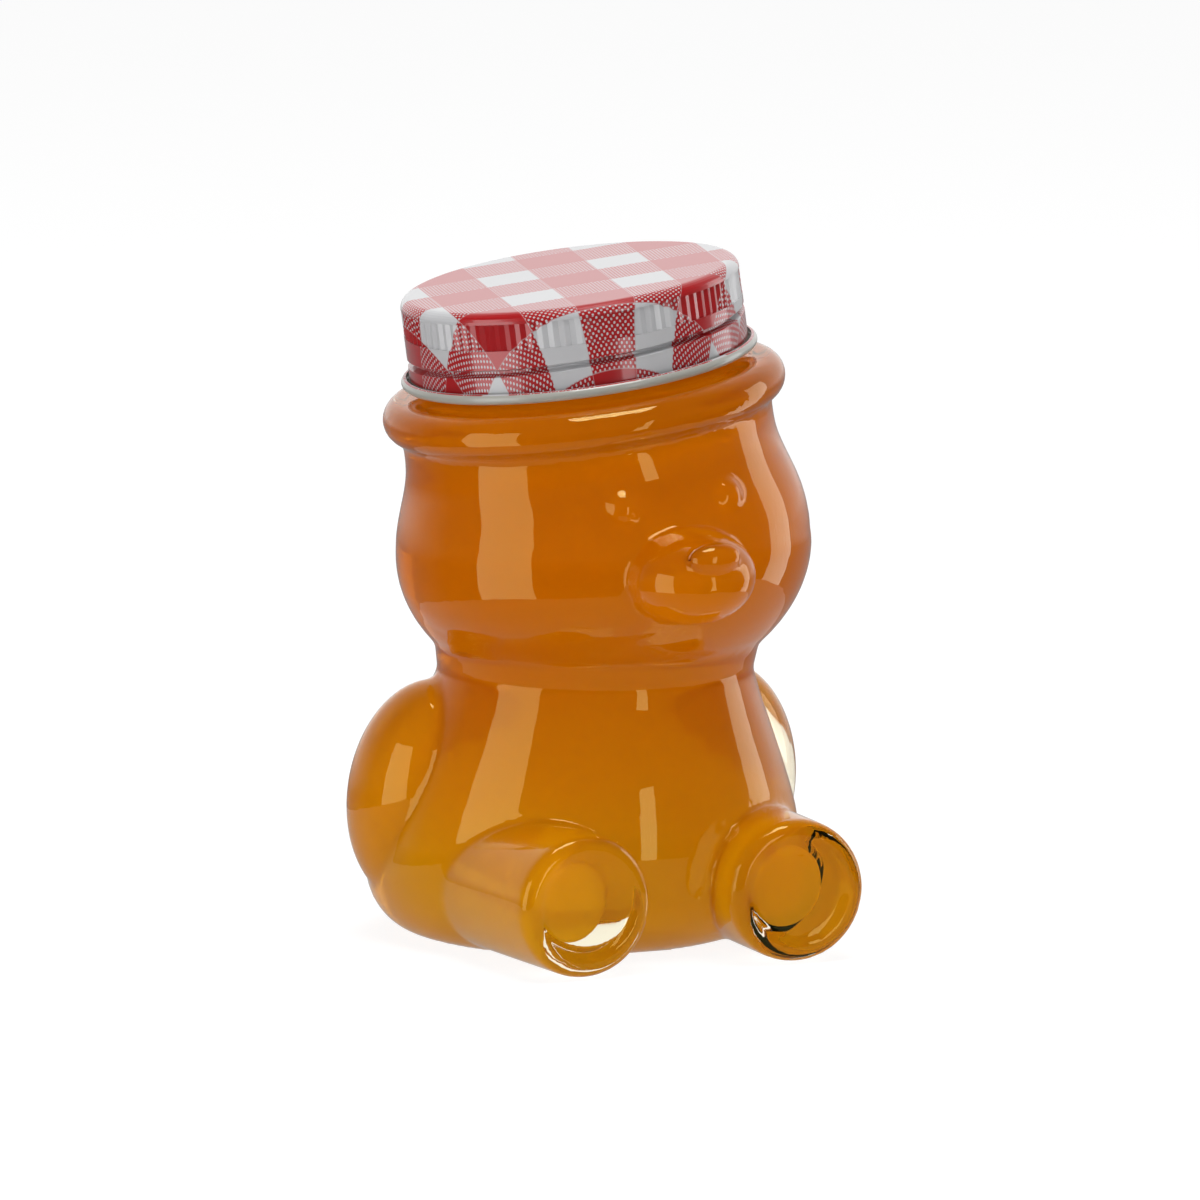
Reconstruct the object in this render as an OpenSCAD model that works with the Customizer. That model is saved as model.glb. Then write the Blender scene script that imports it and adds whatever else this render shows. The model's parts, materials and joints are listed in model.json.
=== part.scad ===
// A glass honey jar in the shape of a seated bear, filled with honey and closed
// by a one-piece metal screw cap with a sealing ring. Millimetres, Z up, the bear
// looks along -Y and the origin is under the middle of its box, on the table.

/* [Body] */
// Radius of the ring that the base stands on
base_r = 27.5; // [25:0.5:29]
// Largest radius of the belly
belly_r = 37; // [35:0.5:39]
// Height of the widest part of the belly
belly_z = 13; // [10:0.5:15]
// Radius of the collar between body and head
collar_r = 26.8; // [25:0.2:28]
// Height of the lower edge of the collar
collar_z = 46; // [44:0.5:48]
// Forward lean of the body, in mm for each mm of height
lean = 0.166; // [0.1:0.01:0.2]
// Thickness of the glass wall
wall = 3; // [2.4:0.1:3.6]
// Thickness of the glass floor at its middle
floor_t = 5; // [4:0.5:7]
// Height of the hollow under the base
push_up = 1.8; // [1:0.1:2.5]

/* [Head] */
// Largest radius of the head
head_r = 35.2; // [34:0.2:36.5]
// Height of the middle of the head
head_z = 67.3; // [65:0.5:69]
// Depth of the lower half of the head
chin_h = 26.8; // [25:0.2:28]
// Sideways tilt of the crown and the mouth, in degrees
tilt = 8; // [4:0.5:10]
// Radius of the crown under the brim
crown_r = 31.4; // [30.5:0.1:32.5]
// Height of the brim above the middle of the head
brim_h = 26; // [25:0.5:28]
// Outer radius of the brim
brim_r = 34.3; // [33:0.1:35.5]
// Thickness of the round bead of the brim
brim_t = 7.4; // [6:0.1:8]

/* [Mouth and thread] */
// Radius of the bore of the mouth
bore_r = 24; // [23:0.1:24.6]
// Radius of the plain glass between the thread turns
root_r = 27.05; // [26.8:0.05:27.3]
// Height from the middle of the brim to the rim of the mouth
mouth_h = 19.5; // [19:0.1:20]
// Rise of the thread in one turn
pitch = 5.08; // [4.5:0.02:5.5]
// How far the glass thread stands out
thread_d = 1.05; // [0.8:0.05:1.2]
// Turns of thread on the glass
glass_turns = 1.35; // [1:0.05:1.6]

/* [Arms and legs] */
// Thickness, width and length of an arm, as half sizes
arm = [13, 14, 20]; // [10:0.5:24]
// Middle of an arm: outwards, back and up
arm_at = [27.4, 1.8, 25]; // [1:0.2:30]
// Slope of an arm towards the front at the shoulder, in degrees
arm_slope = 14; // [0:1:25]
// Lean of an arm towards the body at the shoulder, in degrees
arm_lean = 5; // [0:1:10]
// Radius of a leg and its round sole
leg_r = 12.1; // [11:0.1:12.1]
// Distance between the middles of the soles
leg_gap = 38.6; // [34:0.2:42]
// Distance from the middle of the base to the soles
leg_reach = 48.8; // [45:0.2:52]
// Turn of each foot outwards, in degrees
splay = 3; // [0:0.5:6]
// Thickness of the glass round the hollow in a leg
leg_wall = 4.6; // [4:0.1:6]
// Thickness of the glass between a sole and the tip of that hollow
sole_wall = 9; // [7:0.5:12]
// Radius and depth of the shallow dish in a sole
sole_dish = [9.2, 0.6]; // [0.4:0.1:10]

/* [Face] */
// Sideways tilt of the face, in degrees
face_tilt = 3; // [0:0.5:8]
// Half width, depth and height of the muzzle
muzzle = [10.8, 12, 8.1]; // [7:0.1:13]
// How far the muzzle stands out from the head
muzzle_out = 12.6; // [6:0.1:14]
// Half width, depth and height of the nose
nose = [4.7, 2.6, 2.7]; // [2:0.1:6]
// Height of the nose above the middle of the head
nose_z = 4.2; // [2:0.1:5]
// Radius of the ball that makes an eye
eye_r = 3.6; // [3:0.1:4.5]
// Angle of each eye from the middle of the face, in degrees
eye_turn = 17.2; // [14:0.2:20]
// Height of the eyes above the middle of the head
eye_z = 11.4; // [9:0.2:13]

/* [Cap] */
// Thickness of the tinplate
tin = 0.3; // [0.25:0.05:0.4]
// Height of the cap from its curl to its top
cap_h = 15.3; // [14.6:0.1:15.8]
// Gap between the grip flutes and the glass thread
cap_gap = 0.1; // [0.05:0.05:0.3]
// Gap between the formed thread and the glass
crest_gap = 0.3; // [0.2:0.05:0.35]
// Outer radius of the shoulder of the cap
shoulder_r = 1.8; // [1.2:0.1:2.4]
// Thickness of the rolled curl
curl_t = 1.8; // [1.6:0.1:2.2]
// Number of grip flutes round the cap
flutes = 96; // [60:4:110]
// Depth of the grip flutes
flute_d = 0.25; // [0.15:0.05:0.35]
// Height of the grip flutes
flute_h = 4.5; // [3:0.1:4.8]
// Turns of the formed thread in the cap
cap_turns = 1; // [0.8:0.05:1.1]
// Height of the start of the formed thread above the edge of the cap
thread_low = 3.2; // [3.1:0.05:3.6]
// Where the threads start round the mouth, in degrees from +X
thread_from = 80; // [0:5:360]
// Thickness of the sealing ring when it is pressed
seal_t = 0.9; // [0.6:0.1:1.2]
// Width of the sealing ring
seal_w = 3.4; // [2.8:0.1:3.6]
// Gap between the sealing ring and the rounded corner of the cap
seal_gap = 0.05; // [0.02:0.01:0.2]

/* [Honey] */
// Height of the honey above the table
honey_z = 103.5; // [98:0.5:105]
// Gap that keeps honey and glass apart
honey_gap = 0.1; // [0.05:0.05:0.3]

/* [Hidden] */

// Points on each curved stretch of an outline, and facets of a round
stretch_n = 8;
round_n = 96;
// Steps of a thread in one turn
thread_n = 48;
// How deep joined shapes run into each other, and how far cuts reach past them
bury = 0.5;
over = 20;
// Handles of the curves of the body: at the foot, the belly and the shoulder
foot_out = 5;
foot_up = 0.6;
belly_down = 7;
belly_up = 10;
shoulder_out = 2.8;
shoulder_down = 9;
// Heights on the head where the crown starts to draw in, and where it stands upright
draw_in = 9;
draw_end = 13;
crown_end = 19;
// Length of the straight stretch between two curved ones
straight = 1;
// How much shorter the buried oval of the crown is than the chin, and how far
// the body and the crown stop short of its tips
crown_short = 6;
tip_cut = [7, 2];
// Height of the oval that the front of the head follows over its middle
brow_h = 35.8;
// How far under the widest place of the belly the back reaches out furthest
back_low = 1;
// How far the bore of the mouth widens where it meets the hollow
neck_flare = 1;
// Width of the ring that the base stands on, and of the slope of the hollow inside it
foot_ring = 3.5;
foot_slope = 3.5;
// Height of the upright edge of that ring, and how the corner of the hollow is eased
foot_edge = 0.2;
foot_ease = 0.4;
// Rounding between the brim and the finish, and at the rim of the mouth
brim_fillet = 1.2;
rim_chamfer = 0.5;
// How deep the balls of the nose and the eyes lie in what carries them
nose_sink = 1.1;
eye_sink = 1.1;
// Height of the middle of the muzzle above the middle of the head
muzzle_z = -0.3;
// How far the crests of the flutes lie back from the plain wall
flute_back = 0.06;
// Share of its depth that a thread has at its very ends
thread_end = 0.08;
// Share of the width of the curl that is left open inside
curl_open = 0.35;
// Rounding of the edge of a sole, its height over the table and the length of a leg
sole_edge = 2.2;
sole_lift = 0.3;
leg_len = leg_reach - 14;
// Length of the tip of the hollow in a leg, and how much deeper it starts than the leg
core_nose = 4;
core_deep = 2;

// Heights up the body, measured from the table
collar_t = 4.6;
collar_top = collar_z + collar_t;
head_at = [0, -lean * head_z, head_z];
// Where the chin meets the collar, and how deep the crown reaches into the head
chin_low = collar_top - head_z;
crown_low = chin_h - crown_short;

// Heights up the head, measured from its middle along the tilted axis
rim_h = brim_h + mouth_h;
bead_r = brim_t / 2;
bead_mid = brim_r - bead_r;
brim_top = brim_h + bead_r;
seat_h = rim_h + seal_t;
cap_top = seat_h + tin;
cap_low = cap_top - cap_h;

// Radii of the cap, from the glass outwards
thread_r = root_r + thread_d;
cap_in = thread_r + cap_gap + flute_d + flute_back;
cap_out = cap_in + tin;
crest_r = root_r + crest_gap;
seal_r = cap_out - shoulder_r - seal_gap;
curl_mid = cap_out + curl_t / 2 - tin;

// Thread sections, as half widths at the foot and at the crest
glass_flank = [1.25, 0.55];
tin_flank = [0.95, 0.35];
groove_flank = [0.85, 0.2];
// The formed thread hooks under the glass one, with a little room between
// their flanks, and each runs out over an angle
flank_gap = 0.15;
tin_start = cap_low + thread_low;
glass_start = tin_start + glass_flank[1] + tin_flank[0] - flank_gap / 2;
runout = 30;

// Reach of the bear to the nose and to its back, which sets the origin between them
front_y = head_at[1] - head_r - muzzle_out - nose_sink;
back_y = belly_r - lean * (belly_z - back_low);
lean_m = [[1, 0, 0, 0], [0, 1, -lean, 0], [0, 0, 1, 0], [0, 0, 0, 1]];

// Points along a smooth curve with two ends and two handles
function curve(a, b, c, d) = [for (i = [0:stretch_n])
    let (t = i / stretch_n, s = 1 - t)
    s * s * s * a + 3 * s * s * t * b + 3 * s * t * t * c + t * t * t * d];

// Points along an upright quarter ellipse from its lower end to its widest
// place, or from there to its upper end, stopped at a given share
function oval(r, h, from, to) = [for (i = [0:stretch_n])
    let (z = from + (to - from) * i / stretch_n)
    [r * sqrt(1 - pow(z / h, 2)), z]];

// Outline of the body, the collar and the lower half of the head, drawn in by
// a given distance for the cavity and for the honey; it ends inside the crown.
// Under the glass a stub is left, which the flat cut of the base takes off.
function body_line(in, foot, stub = 0) = concat(
    stub > 0 ? [[0, foot - stub], [base_r - in, foot - stub]] : [[0, foot]],
    curve([base_r - in, foot], [base_r + foot_out - in, foot + foot_up + foot_ease * in],
          [belly_r - in, belly_z - belly_down + foot / 2], [belly_r - in, belly_z + foot / 2]),
    curve([belly_r - in, belly_z + straight + foot / 2], [belly_r - in, belly_z + belly_up],
          [collar_r + shoulder_out - in, collar_z - shoulder_down], [collar_r - in, collar_z]),
    [for (p = oval(head_r - in, chin_h, chin_low, 0)) p + [0, head_z]],
    [for (p = oval(head_r - in, crown_low, straight, crown_low - tip_cut[0]))
        p + [0, head_z]],
    [[0, head_z + crown_low - tip_cut[0]]]);

// Outline of the tilted crown from inside the head to the under side of the brim
function crown_line(in) = concat(
    [[0, tip_cut[1] - crown_low]],
    oval(head_r - in, crown_low, tip_cut[1] - crown_low, 0),
    curve([head_r - in, straight], [head_r - in, draw_in],
          [crown_r - in, draw_end], [crown_r - in, crown_end]));

module jar_outer() {
    multmatrix(lean_m)
        rotate_extrude($fn = round_n)
            polygon(body_line(0, foot_edge, foot_edge + bury));
    on_head() {
        rotate_extrude($fn = round_n)
            polygon(concat(crown_line(0), [
                [crown_r, brim_h], [bead_mid, brim_top],
                [root_r + brim_fillet, brim_top], [root_r, brim_top + brim_fillet],
                [root_r, rim_h - rim_chamfer], [root_r - rim_chamfer, rim_h], [0, rim_h]]));
        translate([0, 0, brim_h])
            rotate_extrude($fn = round_n)
                translate([bead_mid, 0])
                    circle(r = bead_r, $fn = 48);
    }
}

// The hollow for the honey, drawn in from the outer form
module cavity(in, foot) {
    multmatrix(lean_m)
        rotate_extrude($fn = round_n)
            polygon(body_line(in, foot));
    on_head()
        rotate_extrude($fn = round_n)
            polygon(concat(crown_line(in), [
                [bore_r + wall - in + neck_flare, brim_h - neck_flare],
                [bore_r + wall - in, brim_top - neck_flare],
                [bore_r + wall - in, rim_h + over], [0, rim_h + over]]));
    for (side = [0, 1])
        mirror([side, 0, 0])
            leg_core(leg_r - leg_wall + wall - in);
}

// The hollow reaches into each leg as a blunt tip
module leg_core(r) {
    tip = sole_wall + leg_r - leg_wall - r;
    translate([leg_gap / 2, -leg_reach, leg_r + sole_lift])
        rotate([-90, 0, -splay])
            rotate_extrude($fn = round_n)
                polygon(concat(
                    [for (a = [0:15:90]) [r * sin(a), tip + core_nose * (1 - cos(a))]],
                    [[r, leg_len + core_deep], [0, leg_len + core_deep]]));
}

// Places its children with the origin under the middle of the whole bear
module centred() {
    translate([0, -(front_y + back_y) / 2, 0])
        children();
}

// Places its children on the tilted axis of the head
module on_head() {
    translate(head_at)
        rotate([0, -tilt, 0])
            children();
}

// Places its children on the face
module on_face() {
    translate(head_at)
        rotate([0, -face_tilt, 0])
            children();
}

// A round thread ridge that climbs a right-hand helix and runs out at both ends
module thread(foot_r, crest_r, flank, turns, start) {
    steps = ceil(turns * thread_n);
    turn_of = function (i) 360 * turns * i / steps;
    rise = function (i) smooth(min(turn_of(i), 360 * turns - turn_of(i)) / runout);
    ring = function (i)
        let (a = turn_of(i), z = start + pitch * a / 360,
             tip = foot_r + (crest_r - foot_r) * (thread_end + (1 - thread_end) * rise(i)))
        [for (p = [[foot_r, -flank[0]], [tip, -flank[1]], [tip, flank[1]], [foot_r, flank[0]]])
            [p[0] * cos(a + thread_from), p[0] * sin(a + thread_from), z + p[1]]];
    points = [for (i = [0:steps]) each ring(i)];
    last = 4 * steps;
    polyhedron(points, concat(
        [[0, 1, 2], [0, 2, 3]],
        [for (i = [0:steps - 1]) for (k = [0:3])
            let (a = 4 * i + k, b = 4 * i + (k + 1) % 4)
            each [[a, a + 4, b + 4], [a, b + 4, b]]],
        [[last, last + 2, last + 1], [last, last + 3, last + 2]]));
}

function smooth(t) = let (c = max(0, min(1, t))) c * c * (3 - 2 * c);

module arm_lobe() {
    translate(arm_at)
        rotate([arm_slope, -arm_lean, 0])
            scale(arm)
                sphere(r = 1, $fn = 64);
}

// A leg with a rounded sole and a shallow dish in it
module leg() {
    translate([leg_gap / 2, -leg_reach, leg_r + sole_lift])
        rotate([-90, 0, -splay])
            rotate_extrude($fn = round_n)
                polygon(concat(
                    [[0, sole_dish[1]], [sole_dish[0] - 1, sole_dish[1]], [sole_dish[0], 0]],
                    [for (a = [0:15:90])
                        [leg_r - sole_edge * (1 - sin(a)), sole_edge * (1 - cos(a))]],
                    [[leg_r, leg_len], [0, leg_len]]));
}

module face() {
    eye_ring = head_r * sqrt(1 - pow(eye_z / brow_h, 2));
    on_face() {
        translate([0, muzzle[1] - head_r - muzzle_out, muzzle_z])
            scale(muzzle / muzzle[1])
                rotate([90, 0, 0])
                    rotate_extrude($fn = 64)
                        difference() {
                            circle(r = muzzle[1], $fn = 64);
                            translate([-over, -over])
                                square([over, 2 * over]);
                        }
        translate([0, nose[1] - head_r - muzzle_out - nose_sink, nose_z])
            scale(nose)
                sphere(r = 1, $fn = 48);
        for (side = [-1, 1])
            rotate([0, 0, side * eye_turn])
                translate([0, eye_r - eye_ring - eye_sink, eye_z])
                    sphere(r = eye_r, $fn = 48);
    }
}

// The bear itself: one piece of glass, with solid arms, legs and face
module glass_jar() {
    color([0.93, 0.72, 0.36, 0.55])
    centred() difference() {
        union() {
            jar_outer();
            for (side = [0, 1])
                mirror([side, 0, 0]) {
                    arm_lobe();
                    leg();
                }
            face();
            on_head()
                thread(root_r - bury, thread_r, glass_flank, glass_turns, glass_start);
        }
        cavity(wall, floor_t + push_up);
        // The flat cut of the base and the hollow under it leave a ring to stand on
        translate([0, 0, -over])
            rotate_extrude($fn = round_n)
                polygon([[0, 0], [belly_r + leg_reach, 0], [belly_r + leg_reach, over],
                    [base_r - foot_ring, over], [base_r - foot_ring - foot_slope, over + push_up],
                    [0, over + push_up]]);
    }
}

// The honey follows the inside of the glass and ends in a level surface
module honey_fill() {
    color([0.85, 0.45, 0.02])
    centred() intersection() {
        cavity(wall + honey_gap, floor_t + push_up + honey_gap);
        translate([-belly_r, -belly_r - over, 0])
            cube([2 * belly_r, 2 * belly_r + over, honey_z]);
    }
}

// The ring lies between the rim of the glass and the top of the cap
module sealing_ring() {
    color([0.86, 0.84, 0.78])
    centred() on_head()
        translate([0, 0, rim_h])
            difference() {
                cylinder(r = seal_r, h = seal_t, $fn = round_n);
                translate([0, 0, -bury])
                    cylinder(r = seal_r - seal_w, h = seal_t + 2 * bury, $fn = round_n);
            }
}

// Star outline of the grip flutes
module flute_star(r) {
    polygon([for (i = [0:2 * flutes - 1])
        (r - flute_back - (i % 2) * flute_d) * [cos(180 * i / flutes), sin(180 * i / flutes)]]);
}

// Section of the cap: top, rounded shoulder, wall and the rolled curl
module cap_section() {
    corner = cap_out - shoulder_r;
    inner = shoulder_r - tin;
    polygon(concat(
        [[0, cap_top], [0, seat_h]],
        [for (a = [0:15:90]) [corner + inner * sin(a), cap_top - shoulder_r + inner * cos(a)]],
        [[cap_in, cap_low + curl_t / 2], [cap_out, cap_low + curl_t / 2]],
        [for (a = [90:-15:0])
            [corner + shoulder_r * sin(a), cap_top - shoulder_r + shoulder_r * cos(a)]]));
    translate([curl_mid, cap_low + curl_t / 2])
        difference() {
            circle(r = curl_t / 2, $fn = 32);
            circle(r = curl_t / 2 - tin, $fn = 32);
            translate([tin - curl_t / 2, 0])
                square([curl_t * curl_open, curl_t]);
        }
}

// The cap is one pressed piece: flutes for the grip, a thread formed inwards
// from outside and a curl that stiffens its edge
module screw_cap() {
    flute_top = cap_top - shoulder_r;
    color([0.75, 0.12, 0.15])
    centred() on_head()
        difference() {
            union() {
                difference() {
                    rotate_extrude($fn = round_n)
                        cap_section();
                    translate([0, 0, flute_top - flute_h])
                        cylinder(r = cap_out + bury, h = flute_h, $fn = round_n);
                }
                translate([0, 0, flute_top - flute_h])
                    linear_extrude(flute_h)
                        difference() {
                            flute_star(cap_out);
                            flute_star(cap_in);
                        }
                thread(cap_in + tin / 2, crest_r, tin_flank, cap_turns, tin_start);
            }
            thread(cap_out + bury, crest_r + tin, groove_flank, cap_turns, tin_start);
        }
}

glass_jar();
honey_fill();
sealing_ring();
screw_cap();
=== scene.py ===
"""Looks of the honey bear jar: moulded glass, honey, and a printed tinplate cap."""

import json
import math

import bmesh
import bpy
import numpy as np
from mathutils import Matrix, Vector
from mathutils.bvhtree import BVHTree


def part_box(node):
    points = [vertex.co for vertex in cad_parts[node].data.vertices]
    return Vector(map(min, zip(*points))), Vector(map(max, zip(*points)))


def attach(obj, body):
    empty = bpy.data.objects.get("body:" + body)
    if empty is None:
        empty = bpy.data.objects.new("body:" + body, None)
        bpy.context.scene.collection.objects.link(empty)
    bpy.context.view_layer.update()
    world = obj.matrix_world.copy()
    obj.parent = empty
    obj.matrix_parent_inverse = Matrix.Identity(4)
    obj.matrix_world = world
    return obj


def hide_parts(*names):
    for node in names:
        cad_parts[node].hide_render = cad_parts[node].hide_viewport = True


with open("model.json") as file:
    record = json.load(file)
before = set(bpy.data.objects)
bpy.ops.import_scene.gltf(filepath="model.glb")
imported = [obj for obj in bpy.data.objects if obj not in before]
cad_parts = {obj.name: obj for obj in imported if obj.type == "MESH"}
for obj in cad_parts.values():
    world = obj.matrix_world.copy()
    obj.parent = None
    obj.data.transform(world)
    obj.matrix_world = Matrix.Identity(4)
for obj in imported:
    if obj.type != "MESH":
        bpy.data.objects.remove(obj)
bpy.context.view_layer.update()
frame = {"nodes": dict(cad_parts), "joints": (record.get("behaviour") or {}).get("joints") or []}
nodes = frame["nodes"]

MM = 0.001

# Sizes of the part that the looks follow, in mm where MM doesn't multiply them.
# The middle of the head is on the axis that the cap turns about, and the crown,
# the mouth and the cap tilt about the head's own front-to-back line.
HEAD = Vector(next(j["pos_m"] for j in frame["joints"] if j["name"] == "lid_turn"))
# Middle of the ring that the jar stands on
FOOT = Vector((HEAD.x, HEAD.y + 11.1718 * MM, 0.0))
TILT = math.radians(8.0)
CAP_TOP = 46.7      # top of the cap along its axis from the middle of the head
CAP_LOW = 31.4      # lower edge of its curl, likewise
CAP_OUT = 28.81     # outer radius of its skirt
CURL = 1.8          # thickness of the curl
HONEY_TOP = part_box("honey_fill")[1][2]

# Meshes, in m
GLASS_VOXEL, GLASS_ROUNDS = 0.76 * MM, 2
HONEY_VOXEL, HONEY_ROUNDS = 1.2 * MM, 6
HONEY_SWELL = 0.2 * MM      # puts the skin of the honey a hair inside the wall
WET_NEAR = 1.1 * MM         # a wall this near the honey is wetted
WET_REACH = 2.4 * MM        # and so is one that faces it from this far
WET_KEPT = 0.25             # share of the wetted mesh that stays


# ---------------------------------------------------------------- nodes

def linear(code):
    """A colour written as sRGB hex, turned to linear."""
    values = [int(code[i:i + 2], 16) / 255 for i in (1, 3, 5)]
    return tuple(v / 12.92 if v <= 0.04045 else ((v + 0.055) / 1.055) ** 2.4
                 for v in values) + (1.0,)


def add(tree, kind, settings=None, links=None):
    """Adds a node. Settings are its own properties or its inputs, and links are
    inputs with the socket that feeds each."""
    made = tree.nodes.new(kind)
    for name, value in (settings or {}).items():
        if isinstance(name, str) and hasattr(made, name):
            setattr(made, name, value)
        else:
            made.inputs[name].default_value = value
    for name, source in (links or {}).items():
        tree.links.new(source, made.inputs[name])
    return made


def new_material(name):
    made = bpy.data.materials.new(name)
    made.use_nodes = True
    made.node_tree.nodes.clear()
    return made, made.node_tree


def close(tree, surface):
    add(tree, "ShaderNodeOutputMaterial", links={"Surface": surface.outputs[0]})


def math_node(tree, operation, *values, clamp=False):
    """A Math node whose inputs are numbers or sockets."""
    made = add(tree, "ShaderNodeMath", {"operation": operation, "use_clamp": clamp})
    for i, value in enumerate(values):
        if isinstance(value, bpy.types.NodeSocket):
            tree.links.new(value, made.inputs[i])
        else:
            made.inputs[i].default_value = value
    return made.outputs[0]


def noise(tree, place, scale, detail):
    """Height of a noise over the piece's own coordinates."""
    made = add(tree, "ShaderNodeTexNoise", {"Scale": scale, "Detail": detail},
               {"Vector": place.outputs["Object"]})
    return made.outputs["Fac"]


def two_tones(tree, fac, low, high):
    """A colour ramp from one colour to another."""
    made = add(tree, "ShaderNodeValToRGB", links={"Fac": fac})
    made.color_ramp.elements[0].color = linear(low)
    made.color_ramp.elements[1].color = linear(high)
    return made


def seen_directly(tree, path):
    """1 for rays of the camera and for those that glass mirrors or lets through."""
    return math_node(tree, "MAXIMUM", path.outputs["Is Camera Ray"], math_node(
        tree, "MAXIMUM", path.outputs["Is Glossy Ray"],
        path.outputs["Is Transmission Ray"]))


def dress(piece, material):
    piece.data.materials.clear()
    piece.data.materials.append(material)


# ---------------------------------------------------------------- materials

def fire_polished_glass():
    # Soda-lime glass from a mould: clear with a faint warm cast where it is thick,
    # IOR 1.5, with the slow waves of a fire-polished skin that bend the
    # reflections of the lamps. Those reflections take a warm cast as well.
    made, tree = new_material("fire_polished_soda_lime_glass")
    place = add(tree, "ShaderNodeTexCoord")
    skin = add(tree, "ShaderNodeBump", {"Strength": 0.2, "Distance": 0.6 * MM},
               {"Height": noise(tree, place, 55.0, 1.0)})
    shader = add(tree, "ShaderNodeBsdfPrincipled", {
        "Base Color": linear("#FFF8DC"), "Roughness": 0.0, "IOR": 1.5,
        "Transmission Weight": 1.0, "Specular Tint": (1.0, 0.93, 0.32, 1.0)},
        {"Normal": skin.outputs["Normal"]})
    close(tree, shader)
    return made


def wetted_glass():
    # The same glass where honey wets it: the two bend light alike, so the eye
    # sees no surface there.
    made, tree = new_material("honey_wetted_glass")
    shader = add(tree, "ShaderNodeBsdfPrincipled", {
        "Base Color": linear("#FFFFFF"), "Roughness": 0.0, "IOR": 1.0,
        "Transmission Weight": 1.0})
    close(tree, shader)
    return made


def cloudy_honey():
    # Cloudy amber honey: most light comes back orange from its haze and some goes
    # right through. Its colour is painted lighter and yellower towards the bottom, a
    # painted glow of the light from the table shining up through it, with slow drifts of a
    # lighter and a darker amber. It bends light as the glass that it wets does, so
    # their border shows no bend.
    made, tree = new_material("cloudy_amber_honey")
    place = add(tree, "ShaderNodeTexCoord")
    axes = add(tree, "ShaderNodeSeparateXYZ", links={"Vector": place.outputs["Object"]})
    # Share of the height of the honey, shifted by the drifts; the ramp on it paints a glow that
    # is lighter and yellower low down
    drift = math_node(tree, "MULTIPLY_ADD", noise(tree, place, 28.0, 2.0), 0.3, -0.15)
    glow_by_height = math_node(tree, "ADD", math_node(
        tree, "MULTIPLY", axes.outputs["Z"], 1 / HONEY_TOP), drift)
    # Painted glow: the ramp makes the honey lighter and yellower near the bottom, where the
    # table's light shines through it
    tone = two_tones(tree, glow_by_height, "#E8AC08", "#E48102")
    for place_up, code in ((0.25, "#E99706"), (0.46, "#E98B02"), (0.65, "#E07D00")):
        tone.color_ramp.elements.new(place_up).color = linear(code)
    shader = add(tree, "ShaderNodeBsdfPrincipled", {
        "Roughness": 0.0, "IOR": 1.0, "Transmission Weight": 0.35},
        {"Base Color": tone.outputs["Color"]})
    close(tree, shader)
    return made


def flowed_in_seal():
    # Seal compound that is cast into the cap: matte, off-white, faintly mottled.
    made, tree = new_material("flowed_in_seal_compound")
    place = add(tree, "ShaderNodeTexCoord")
    tone = two_tones(tree, noise(tree, place, 900.0, 3.0), "#D6D0BE", "#E6E1D2")
    shader = add(tree, "ShaderNodeBsdfPrincipled", {"Roughness": 0.62},
                 {"Base Color": tone.outputs["Color"]})
    close(tree, shader)
    return made


CHECK = (9.53, 10.2)        # width and length of a check of the print, mm
TURN = math.radians(-12.1)  # turn of the print against the tilt axis
WHITE_AT = (-9.0, -13.3)    # middle of a white check along the turned axes, mm
WHITE_SHARE = 0.47          # share of the print's period that a white stripe takes
STRIPE_EDGE = 14.0          # steepness of the edge of a stripe
DOTS = 1.08                 # spacing of the white dots in a half-tone check, mm
DOT_EDGE, DOT_INK = -4.0, 2.15      # steepness of a dot's edge, and ink between dots
CURL_PAST = 0.15            # how far the bare curl ends below its full thickness, mm


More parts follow.
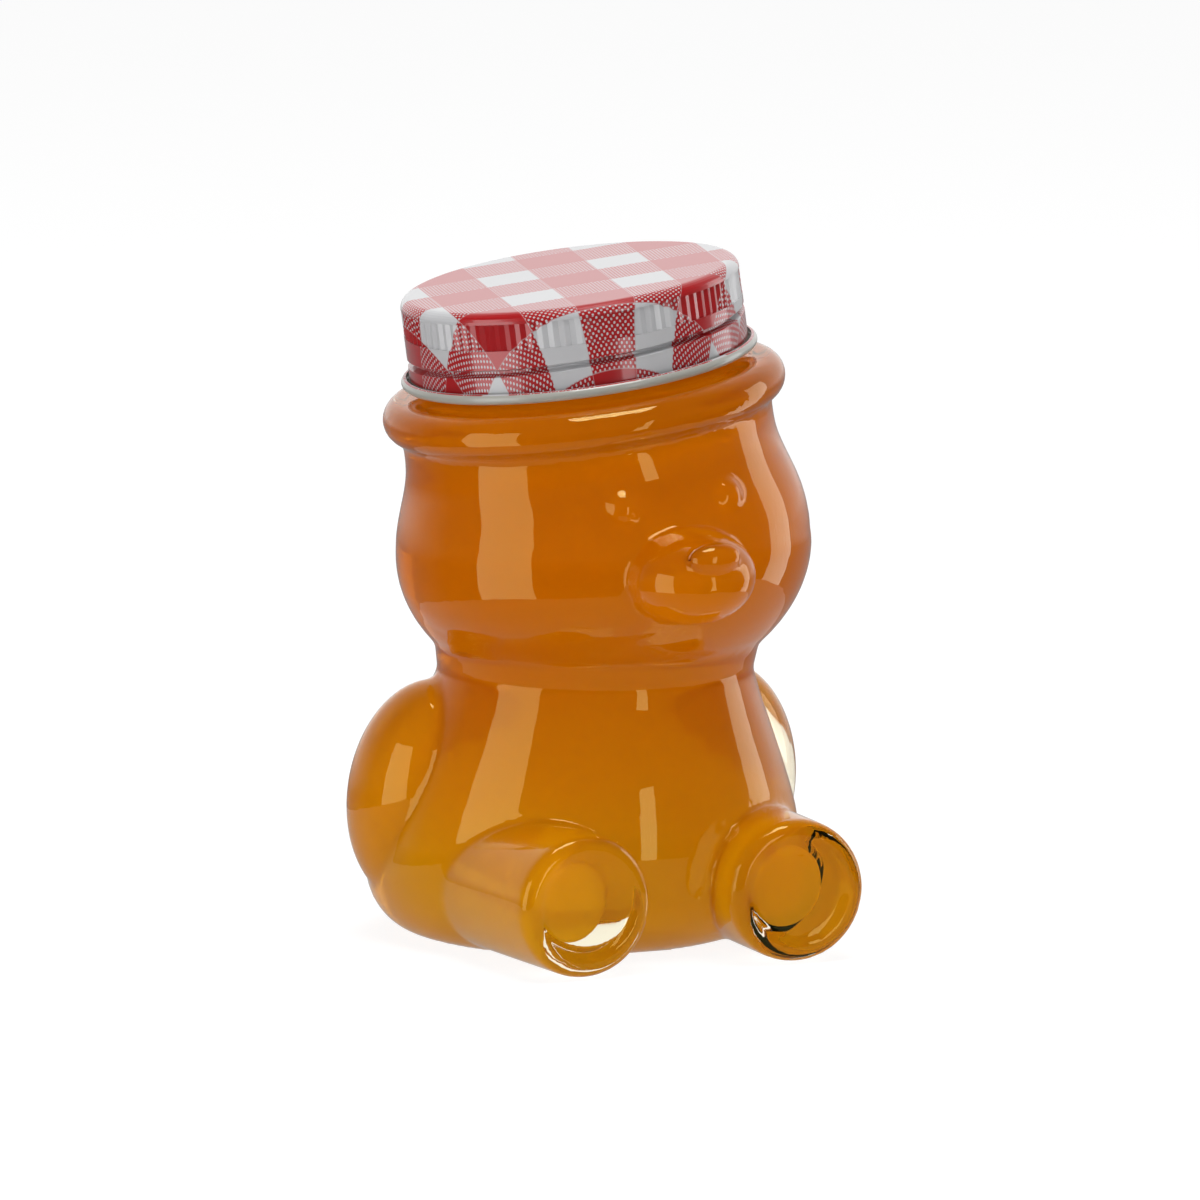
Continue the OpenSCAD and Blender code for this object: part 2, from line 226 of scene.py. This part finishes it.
def lacquered_print():
    # Tinplate printed before it is pressed: a red and white gingham under clear
    # lacquer, whose half-tone checks are red with rows of white dots. On the top it
    # is as printed, and down the skirt it is drawn longer and narrower.
    made, tree = new_material("lacquered_gingham_tinplate")
    place = add(tree, "ShaderNodeTexCoord")
    cap = add(tree, "ShaderNodeMapping", {"vector_type": "TEXTURE"},
              {"Vector": place.outputs["Object"]})
    cap.inputs["Location"].default_value = HEAD
    cap.inputs["Rotation"].default_value = (0.0, -TILT, 0.0)
    cap.inputs["Scale"].default_value = (MM, MM, MM)
    axes = add(tree, "ShaderNodeSeparateXYZ", links={"Vector": cap.outputs[0]})
    x, y, z = axes.outputs
    r = math_node(tree, "SQRT", math_node(
        tree, "ADD", math_node(tree, "MULTIPLY", x, x),
        math_node(tree, "MULTIPLY", y, y)))
    # Radius on the flat sheet that each place was drawn from
    depth = math_node(tree, "MAXIMUM", math_node(tree, "SUBTRACT", CAP_TOP, z), 0.0)
    sheet = math_node(tree, "SQRT", math_node(
        tree, "ADD", math_node(tree, "MULTIPLY", r, r),
        math_node(tree, "MULTIPLY", depth, 2 * CAP_OUT)))
    share = math_node(tree, "DIVIDE", sheet, math_node(tree, "MAXIMUM", r, 0.01))
    flat_x = math_node(tree, "MULTIPLY", x, share)
    flat_y = math_node(tree, "MULTIPLY", y, share)
    c, s = math.cos(TURN), math.sin(TURN)
    a = math_node(tree, "ADD", math_node(tree, "MULTIPLY", flat_x, c),
                  math_node(tree, "MULTIPLY", flat_y, s))
    b = math_node(tree, "SUBTRACT", math_node(tree, "MULTIPLY", flat_y, c),
                  math_node(tree, "MULTIPLY", flat_x, s))

    def stripe(value, middle, wide):
        """1 on a red stripe, 0 on a white one, with a thread-soft edge."""
        from_white = math_node(tree, "SUBTRACT", value, middle)
        wave = math_node(tree, "COSINE", math_node(
            tree, "MULTIPLY", from_white, math.pi / wide))
        past = math_node(tree, "SUBTRACT", math.cos(math.pi * WHITE_SHARE), wave)
        return math_node(tree, "MULTIPLY_ADD", past, STRIPE_EDGE, 0.5, clamp=True)

    warp, weft = stripe(a, WHITE_AT[0], CHECK[0]), stripe(b, WHITE_AT[1], CHECK[1])
    both = math_node(tree, "MULTIPLY", warp, weft)
    either = math_node(tree, "MAXIMUM", warp, weft)
    # Round white dots of the half-tone checks, in rows that stand between each other
    rows, ranks = (math_node(tree, "COSINE", math_node(
        tree, "MULTIPLY", along, 2 * math.pi / DOTS)) for along in (a, b))
    dots = math_node(tree, "MULTIPLY", math_node(
        tree, "MULTIPLY", rows, ranks), DOT_EDGE)
    between = math_node(tree, "ADD", dots, DOT_INK, clamp=True)
    half = math_node(tree, "MULTIPLY", math_node(
        tree, "SUBTRACT", either, both), between)
    ink = math_node(tree, "MAXIMUM", both, half)
    # The curl and the inside of the cap stay plain lacquer: a face is outside when
    # it looks away from the middle of the cap
    skirt = math_node(tree, "GREATER_THAN", z, CAP_LOW + CURL - CURL_PAST)
    from_middle = add(tree, "ShaderNodeVectorMath", {"operation": "SUBTRACT"},
                      {0: place.outputs["Object"]})
    from_middle.inputs[1].default_value = HEAD + Vector(
        (-math.sin(TILT), 0.0, math.cos(TILT))) * (CAP_TOP + CAP_LOW) / 2 * MM
    away = add(tree, "ShaderNodeVectorMath", {"operation": "DOT_PRODUCT"},
               {0: from_middle.outputs["Vector"], 1: place.outputs["Normal"]})
    outside = math_node(tree, "GREATER_THAN", away.outputs["Value"], 0.0)
    ink = math_node(tree, "MULTIPLY", ink, math_node(
        tree, "MULTIPLY", skirt, outside))
    # Greyer lacquer on the curl, white under the print
    bare = add(tree, "ShaderNodeMix", {"data_type": "RGBA"})
    tree.links.new(skirt, bare.inputs[0])
    bare.inputs[6].default_value = linear("#A8A79F")
    bare.inputs[7].default_value = linear("#C2C2C4")
    colour = add(tree, "ShaderNodeMix", {"data_type": "RGBA"})
    tree.links.new(ink, colour.inputs[0])
    tree.links.new(bare.outputs[2], colour.inputs[6])
    colour.inputs[7].default_value = linear("#AA0B12")
    shader = add(tree, "ShaderNodeBsdfPrincipled", {
        "Roughness": 0.28, "IOR": 1.5, "Coat Weight": 0.6, "Coat Roughness": 0.08},
        {"Base Color": colour.outputs[2]})
    close(tree, shader)
    return made


TABLE = 0.15            # radius of the table top that the glass mirrors, m
PAPER_GLOW = 1.12       # how bright the camera sees the floor
MIRROR_DIM = -0.7       # how much dimmer the glass mirrors it
GLOW_SHARE = 0.8        # share of the floor's look that no shadow darkens


def studio_paper():
    # Pale paper sweep, seen by the camera as near white.
    made, tree = new_material("pale_paper_floor")
    place = add(tree, "ShaderNodeTexCoord")
    tone = two_tones(tree, noise(tree, place, 40.0, 2.0), "#F4F4F4", "#F8F8F8")
    paper = add(tree, "ShaderNodeBsdfDiffuse", links={"Color": tone.outputs["Color"]})
    # The camera sees it white, also through glass. Glass and lacquer mirror it as a
    # greyer table
    path = add(tree, "ShaderNodeLightPath")
    mirrored = math_node(tree, "SUBTRACT", path.outputs["Is Glossy Ray"],
                         path.outputs["Is Transmission Ray"], clamp=True)
    bright = math_node(tree, "MULTIPLY_ADD", mirrored, MIRROR_DIM, PAPER_GLOW)
    glow = add(tree, "ShaderNodeEmission", links={"Strength": bright})
    share = math_node(tree, "MULTIPLY", seen_directly(tree, path), GLOW_SHARE)
    both = add(tree, "ShaderNodeMixShader", links={
        0: share, 1: paper.outputs[0], 2: glow.outputs[0]})
    # The table that they mirror is small: past its edge the lamps reach further down
    away = add(tree, "ShaderNodeVectorMath", {"operation": "LENGTH"},
               {0: place.outputs["Object"]})
    past = math_node(tree, "MULTIPLY", mirrored, math_node(
        tree, "GREATER_THAN", away.outputs["Value"], TABLE))
    gone = add(tree, "ShaderNodeBsdfTransparent")
    both = add(tree, "ShaderNodeMixShader", links={
        0: past, 1: both.outputs[0], 2: gone.outputs[0]})
    close(tree, both)
    return made


# ---------------------------------------------------------------- pieces

def merged_copy(name, node):
    """A welded copy of a CAD node's mesh as a piece of its own."""
    piece = bpy.data.objects.new(name, nodes[node].data.copy())
    bpy.context.scene.collection.objects.link(piece)
    work = bmesh.new()
    work.from_mesh(piece.data)
    bmesh.ops.remove_doubles(work, verts=work.verts, dist=2e-6)
    bmesh.ops.recalc_face_normals(work, faces=work.faces)
    work.to_mesh(piece.data)
    work.free()
    return piece


def applied(piece):
    """Turns a piece's modifiers into plain mesh."""
    graph = bpy.context.evaluated_depsgraph_get()
    mesh = bpy.data.meshes.new_from_object(piece.evaluated_get(graph))
    piece.modifiers.clear()
    piece.data = mesh
    for face in mesh.polygons:
        face.use_smooth = True
    return piece


def coarser(piece, chosen, kept):
    """Thins the chosen part of a mesh to a share of it."""
    group = piece.vertex_groups.new(name="hidden")
    group.add(chosen, 1.0, "REPLACE")
    thin = piece.modifiers.new("thin", "DECIMATE")
    thin.ratio = 1 - (1 - kept) * len(chosen) / len(piece.data.vertices)
    thin.vertex_group = group.name
    applied(piece)
    piece.vertex_groups.clear()


def smooth_skin(piece, voxel, repeat):
    """Rebuilds a solid as an even skin whose joints are rounded as in a mould."""
    remesh = piece.modifiers.new("skin", "REMESH")
    remesh.mode = "VOXEL"
    remesh.voxel_size = voxel
    relax = piece.modifiers.new("relax", "SMOOTH")
    relax.factor = 0.5
    relax.iterations = repeat
    return applied(piece)


def touching(piece, liquid, near, reach):
    """Vertices of a piece that are near the skin of the liquid, or that face it
    from within reach, as in the corners that the smoothed liquid doesn't fill."""
    tree = BVHTree.FromPolygons([v.co for v in liquid.data.vertices],
                                [f.vertices for f in liquid.data.polygons])
    found = []
    for v in piece.data.vertices:
        place, _, _, far = tree.find_nearest(v.co, reach)
        if place is None:
            continue
        faces_it = (place - v.co).dot(v.normal) > 0.5 * far
        if far < near or faces_it:
            found.append(v.index)
    return found


def swell(piece, distance):
    """Pushes the skin of a piece outwards."""
    mesh = piece.data
    normals = np.zeros(len(mesh.vertices) * 3, np.float32)
    points = np.zeros(len(mesh.vertices) * 3, np.float32)
    mesh.vertices.foreach_get("normal", normals)
    mesh.vertices.foreach_get("co", points)
    mesh.vertices.foreach_set("co", points + normals * distance)
    mesh.update()


def belongs(piece, body, node):
    """Says whose body a piece rides on, and what it replaces."""
    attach(piece, body)
    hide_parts(node)


# The honey wets the glass: its skin lies a hair inside the wall, so that no film
# of air shows between the two.
honey = smooth_skin(merged_copy("honey", "honey_fill"), HONEY_VOXEL, HONEY_ROUNDS)
swell(honey, HONEY_SWELL)
dress(honey, cloudy_honey())
belongs(honey, "jar", "honey_fill")

# The wall that the honey wets doesn't show, so it has a coarser mesh and a finish
# of its own.
glass = smooth_skin(merged_copy("bear_glass", "glass_jar"), GLASS_VOXEL, GLASS_ROUNDS)
dress(glass, fire_polished_glass())
glass.data.materials.append(wetted_glass())
wet = set(touching(glass, honey, WET_NEAR, WET_REACH))
for face in glass.data.polygons:
    if all(v in wet for v in face.vertices):
        face.material_index = 1
coarser(glass, sorted(wet), WET_KEPT)
belongs(glass, "jar", "glass_jar")

dress(nodes["sealing_ring"], flowed_in_seal())
dress(nodes["screw_cap"], lacquered_print())


# ---------------------------------------------------------------- stage

def aimed(kind, name, place, target):
    """A lamp or camera at a place, looking at a target."""
    piece = bpy.data.objects.new(name, kind)
    bpy.context.scene.collection.objects.link(piece)
    place, target = Vector(place), Vector(target)
    piece.location = place
    piece.rotation_mode = "QUATERNION"
    piece.rotation_quaternion = (place - target).to_track_quat("Z", "Y")
    return piece


def softbox(name, place, target, width, height, power):
    lamp = bpy.data.lights.new(name, "AREA")
    lamp.shape = "RECTANGLE"
    lamp.size, lamp.size_y = width, height
    lamp.energy = power
    return aimed(lamp, name, place, target)


# The camera as fitted to the photo: its direction from the jar, how far it stands,
# and what it shows across at the jar
AZIMUTH, ELEVATION = math.radians(-23.9), math.radians(8.65)
DISTANCE, ACROSS = 2.5, 0.2048
RIGHT = Vector((math.cos(AZIMUTH), math.sin(AZIMUTH), 0))
BACK = Vector((math.sin(AZIMUTH) * math.cos(ELEVATION),
               -math.cos(AZIMUTH) * math.cos(ELEVATION), math.sin(ELEVATION)))
UP = BACK.cross(RIGHT)
AIM = FOOT + RIGHT * 0.003925 + UP * 0.0558
lens = bpy.data.cameras.new("camera")
lens.sensor_width = 36.0
lens.lens = lens.sensor_width * DISTANCE / ACROSS
lens.clip_start, lens.clip_end = 0.05, 50
camera = aimed(lens, "camera", AIM + BACK * DISTANCE, AIM)
bpy.context.scene.camera = camera
# Light crosses many walls of glass before it leaves the solid arms and legs
bpy.context.scene.cycles.max_bounces = 28
bpy.context.scene.cycles.transmission_bounces = 28

middle = FOOT + Vector((0, 0, 0.06))    # what the lamps look at


def round_the_jar(turn, rise, distance=1.0):
    """A place round the jar: degrees to the right of the camera, and upwards."""
    turn, rise = AZIMUTH + math.radians(turn), math.radians(rise)
    return middle + distance * Vector((
        math.sin(turn) * math.cos(rise), -math.cos(turn) * math.cos(rise),
        math.sin(rise)))


def radiance(width, height, value):
    """Power of a lamp of that size whose face is that many times as bright as white."""
    return width * height * math.pi * value


for name, turn, rise, width, height, bright in (
        ("left_softbox", -56, -7, 0.62, 1.2, 2.8),
        ("right_softbox", 115, -3, 0.36, 1.15, 2.1),
        ("strip_softbox", 34, -6, 0.15, 0.62, 3.4),
        ("top_softbox", 10, 76, 0.5, 0.35, 10.5)):
    softbox(name, round_the_jar(turn, rise), middle, width, height,
            radiance(width, height, bright))
fill = softbox("overhead_fill", round_the_jar(180, 70), middle, 1.0, 1.0,
               radiance(1, 1, 1.2))
fill.visible_glossy = False
fill.visible_transmission = False

side = 6.0      # half the width of the floor, m
floor_mesh = bpy.data.meshes.new("floor")
floor_mesh.from_pydata(
    [(-side, -side, 0), (side, -side, 0), (side, side, 0), (-side, side, 0)],
    [], [(0, 1, 2, 3)])
floor = bpy.data.objects.new("floor", floor_mesh)
bpy.context.scene.collection.objects.link(floor)
dress(floor, studio_paper())

world = bpy.data.worlds.new("studio")
bpy.context.scene.world = world
world.use_nodes = True
sky = world.node_tree
sky.nodes.clear()
path = add(sky, "ShaderNodeLightPath")
ahead = add(sky, "ShaderNodeTexCoord")
facing = add(sky, "ShaderNodeVectorMath", {"operation": "DOT_PRODUCT"},
             {0: ahead.outputs["Generated"]})
facing.inputs[1].default_value = (BACK.x, BACK.y, 0.0)
# What glass and lacquer mirror: the backdrop is white, and the studio behind the
# camera is dim, as is all that lies below the table
room = add(sky, "ShaderNodeMapRange", {"From Min": -0.95, "From Max": -0.15,
                                       "To Min": 1.0, "To Max": 0.12},
           {"Value": facing.outputs["Value"]})
axes = add(sky, "ShaderNodeSeparateXYZ", links={"Vector": ahead.outputs["Generated"]})
low = add(sky, "ShaderNodeMapRange", {"From Min": -0.12, "From Max": 0.0,
                                      "To Min": 0.3, "To Max": 1.0},
          {"Value": axes.outputs["Z"]})
lit = math_node(sky, "MULTIPLY", room.outputs[0], low.outputs[0])
mirrored = math_node(sky, "MULTIPLY", path.outputs["Is Glossy Ray"], lit)
# The camera sees it white, also through glass, and matte skins get a dim light of it
direct = math_node(sky, "MAXIMUM", path.outputs["Is Camera Ray"],
                   path.outputs["Is Transmission Ray"])
unseen = math_node(sky, "SUBTRACT", 1.0, seen_directly(sky, path))
soft = math_node(sky, "MULTIPLY", unseen, 0.25)
strength = math_node(sky, "ADD", soft, math_node(sky, "MAXIMUM", direct, mirrored))
wall = add(sky, "ShaderNodeBackground", {"Color": (1, 1, 1, 1)}, {"Strength": strength})
add(sky, "ShaderNodeOutputWorld", links={"Surface": wall.outputs[0]})

bpy.context.scene.view_settings.view_transform = "Standard"
